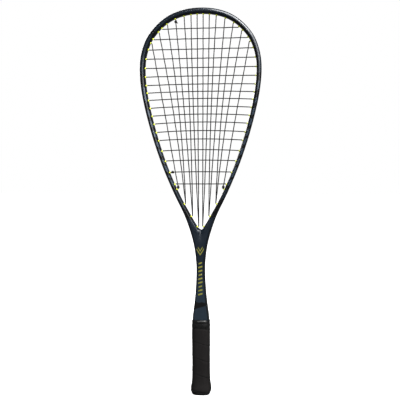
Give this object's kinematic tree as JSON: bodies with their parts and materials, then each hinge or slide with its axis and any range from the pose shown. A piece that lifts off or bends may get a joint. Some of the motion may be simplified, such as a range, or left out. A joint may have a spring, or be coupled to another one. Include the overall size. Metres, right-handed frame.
{
  "type": "squash racket",
  "caption": "Strung squash racket: teardrop hoop running into an open throat, slim flared shaft, wrapped grip with collar and flared butt.",
  "frame": {"origin": "centre of the butt end's flat face, the lowest point when the racket stands upright on its butt", "axes": "+Z along the shaft from the butt end to the tip of the head, +X to the right across the head, the hitting face towards -Y, with Y = 0 in the plane of the strings"},
  "size_m": [0.215, 0.0306, 0.686],
  "materials": {
    "frame_lacquer": "glossy lacquer over carbon composite, dark slate with black bands",
    "bumper": "satin black nylon",
    "grommet": "bright yellow nylon",
    "string": "dark multifilament with a clear coat",
    "core_foam": "moulded polyurethane foam, hidden",
    "cap_rubber": "black, slightly soft",
    "badge": null,
    "tack_steel": "zinc plated",
    "grip_skin": "matt black cushioned polyurethane wrap",
    "tape": "black vinyl tape",
    "collar_rubber": "black moulded rubber, slight shine"
  },
  "bodies": {
    "root": {"frame": "frame_lacquer", "bumper_guard": "bumper", "grommet_strip_head": "grommet", "grommet_strip_left": "grommet", "grommet_strip_right": "grommet", "throat_grommet_left_1": "grommet", "throat_grommet_right_1": "grommet", "throat_grommet_left_2": "grommet", "throat_grommet_right_2": "grommet", "throat_grommet_left_3": "grommet", "throat_grommet_right_3": "grommet", "throat_grommet_left_4": "grommet", "throat_grommet_right_4": "grommet", "main_string": "string", "cross_string": "string", "handle_core_front": "core_foam", "handle_core_back": "core_foam", "butt_cap": "cap_rubber", "butt_badge": "badge", "cap_tack_front": "tack_steel", "cap_tack_back": "tack_steel", "grip_wrap": "grip_skin", "finishing_tape": "tape", "rubber_collar": "collar_rubber"}
  },
  "joints": []
}
